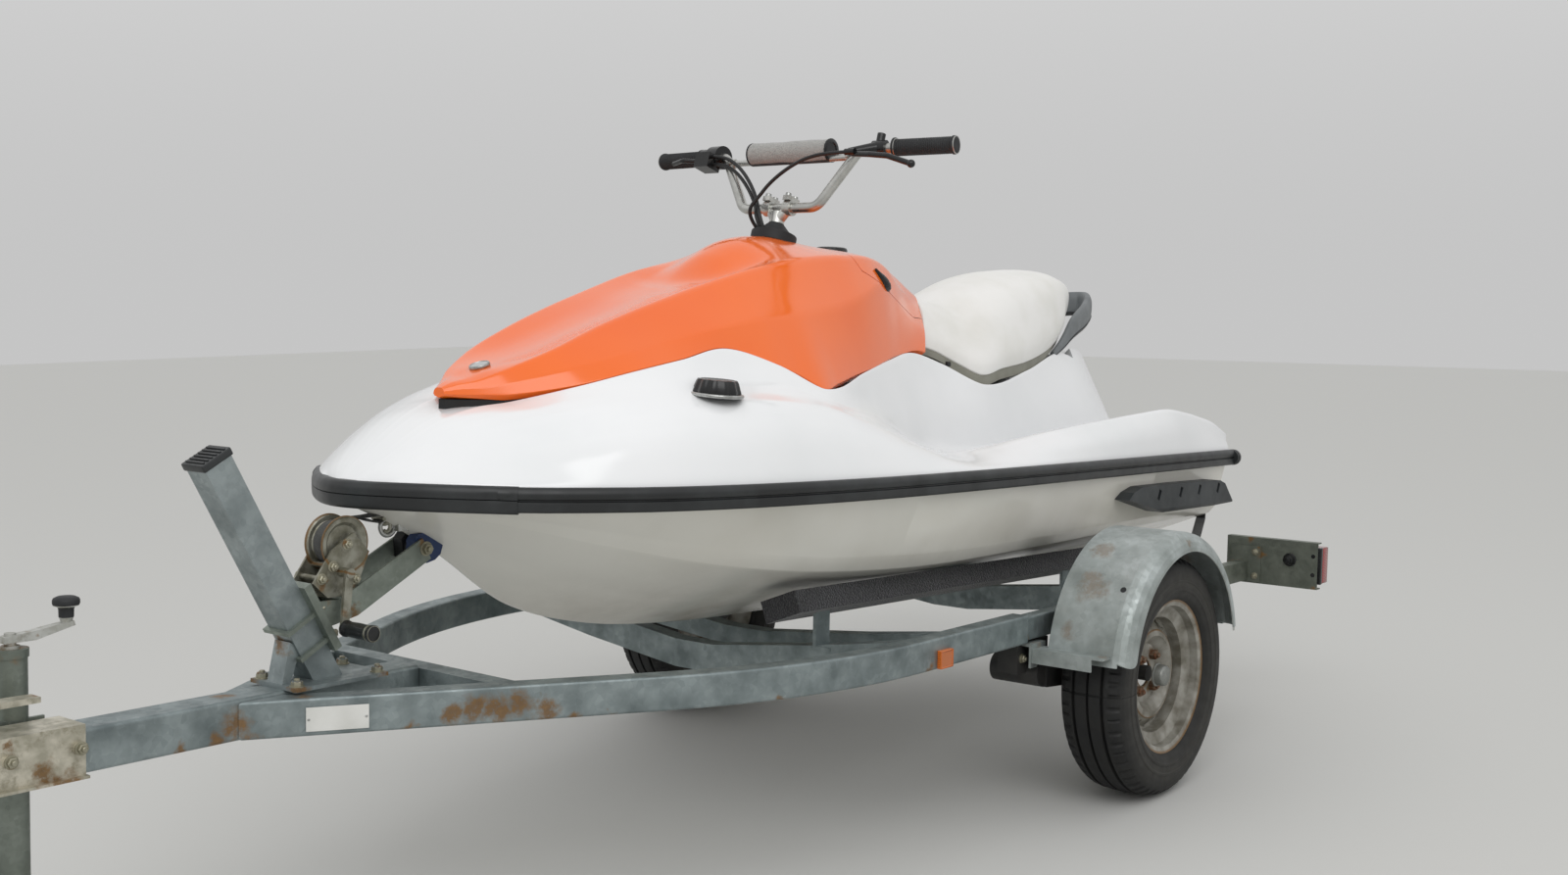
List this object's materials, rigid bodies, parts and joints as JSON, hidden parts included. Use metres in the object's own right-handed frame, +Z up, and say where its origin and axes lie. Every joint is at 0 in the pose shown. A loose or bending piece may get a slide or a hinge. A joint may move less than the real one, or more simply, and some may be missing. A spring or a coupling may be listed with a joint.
{
  "type": "personal watercraft on its trailer",
  "caption": "Seated jet watercraft with steerable handlebars and lifting seat, held by bunks and bow stop on a single-axle trailer with winch post, jack and ball coupling.",
  "frame": {"origin": "on the ground, midway along the whole length and between the two wheels", "axes": "+X toward the bow and the tow coupling, +Y to port, +Z up"},
  "size_m": [3.4529, 1.484, 1.4223],
  "materials": {
    "hull_white": "gloss off-white gelcoat, dusty low down",
    "deck_white": "gloss white gelcoat",
    "hood_orange": "gloss orange gelcoat",
    "seat_vinyl": "satin white marine vinyl",
    "rub_rubber": "satin black, grey upper bead",
    "black_plastic": "matte black",
    "handle_grey": "matte dark grey",
    "grip_rubber": "black rubber",
    "bar_silver": "satin silver tube with black grips",
    "pad_foam": "grey woven sleeve over foam",
    "cast_alloy": "cast, dull",
    "galvanised": "hot-dip galvanised, dull, rust at the edges",
    "black_steel": "satin black paint",
    "zinc": "zinc plated, rust at the edges",
    "carpet": "black bunk carpet",
    "tyre_rubber": "worn tread",
    "wheel_silver": "silver paint, rusty flange",
    "guard_steel": "galvanised, rust stains",
    "lamp": "steel board with red lamps",
    "amber": "amber reflector",
    "navy_block": "dark blue polyurethane",
    "webbing": "black webbing",
    "engine_block": "plain block"
  },
  "bodies": {
    "craft_on_trailer": {"hull": "hull_white", "deck": "deck_white", "hood": "hood_orange", "rear_cowl": "hood_orange", "rub_rail": "rub_rubber", "sponson_port": "black_plastic", "sponson_starboard": "black_plastic", "filler_cap": "black_plastic", "grab_handle": "handle_grey", "bow_eye": "galvanised", "column_grommet": "grip_rubber", "pump_housing": "cast_alloy", "ride_plate": "cast_alloy", "intake_grate": "cast_alloy", "engine": "engine_block", "rail_port": "galvanised", "rail_starboard": "galvanised", "drawbar": "galvanised", "front_cross_member": "galvanised", "keel_cross_member": "galvanised", "mid_cross_member": "galvanised", "rear_cross_member": "galvanised", "bunk_port": "carpet", "bunk_starboard": "carpet", "suspension_port": "black_steel", "suspension_starboard": "black_steel", "mudguard_port": "guard_steel", "mudguard_starboard": "guard_steel", "lamp_board_port": "lamp", "lamp_board_starboard": "lamp", "side_reflector_port": "amber", "side_reflector_starboard": "amber", "coupling": "zinc", "jack_tube": "zinc", "jack_crank": "zinc", "winch_post": "galvanised", "bow_stop_arms": "galvanised", "bow_stop": "navy_block", "winch": "zinc", "winch_strap": "webbing", "tie_down_port": "webbing", "tie_down_starboard": "webbing"},
    "port_wheel": {"wheel_port": "wheel_silver", "tyre_port": "tyre_rubber"},
    "starboard_wheel": {"wheel_starboard": "wheel_silver", "tyre_starboard": "tyre_rubber"},
    "handlebars": {"steering_column": "cast_alloy", "handlebar": "bar_silver", "bar_pad": "pad_foam", "bar_lever": "black_plastic", "throttle_housing": "black_plastic", "throttle_cable": "grip_rubber", "return_cable": "grip_rubber", "lever_cable": "grip_rubber"},
    "jet_nozzle": {"steering_nozzle": "cast_alloy"},
    "seat_lid": {"seat": "seat_vinyl"},
    "jack_leg": {"jack_ram": "zinc"}
  },
  "joints": [
    {"name": "port_wheel_spin", "type": "hinge", "parent": "craft_on_trailer", "child": "port_wheel", "pos_m": [-0.7095, 0.64, 0.261], "axis": [0, 1, 0], "continuous": true},
    {"name": "starboard_wheel_spin", "type": "hinge", "parent": "craft_on_trailer", "child": "starboard_wheel", "pos_m": [-0.7095, -0.64, 0.261], "axis": [0, 1, 0], "continuous": true},
    {"name": "handlebar_steer", "type": "hinge", "parent": "craft_on_trailer", "child": "handlebars", "pos_m": [-0.2154, 0, 1.21285], "axis": [-0.3107, 0, 0.9505], "range_deg": [-35, 35]},
    {"name": "nozzle_steer", "type": "hinge", "parent": "craft_on_trailer", "child": "jet_nozzle", "pos_m": [-1.66037, 0, 0.43357], "axis": [-0.0541, 0, 0.9985], "range_deg": [-20, 20]},
    {"name": "seat_lift", "type": "hinge", "parent": "craft_on_trailer", "child": "seat_lid", "pos_m": [-0.69444, 0, 1.08977], "axis": [0, 1, 0], "range_deg": [0, 60]},
    {"name": "jack_slide", "type": "slide", "parent": "craft_on_trailer", "child": "jack_leg", "axis": [-0.0293, 0, 0.9996], "range_m": [0, 0.15]}
  ],
  "couplings": [
    {"joint": "nozzle_steer", "follows": "handlebar_steer", "ratio": -0.5}
  ]
}
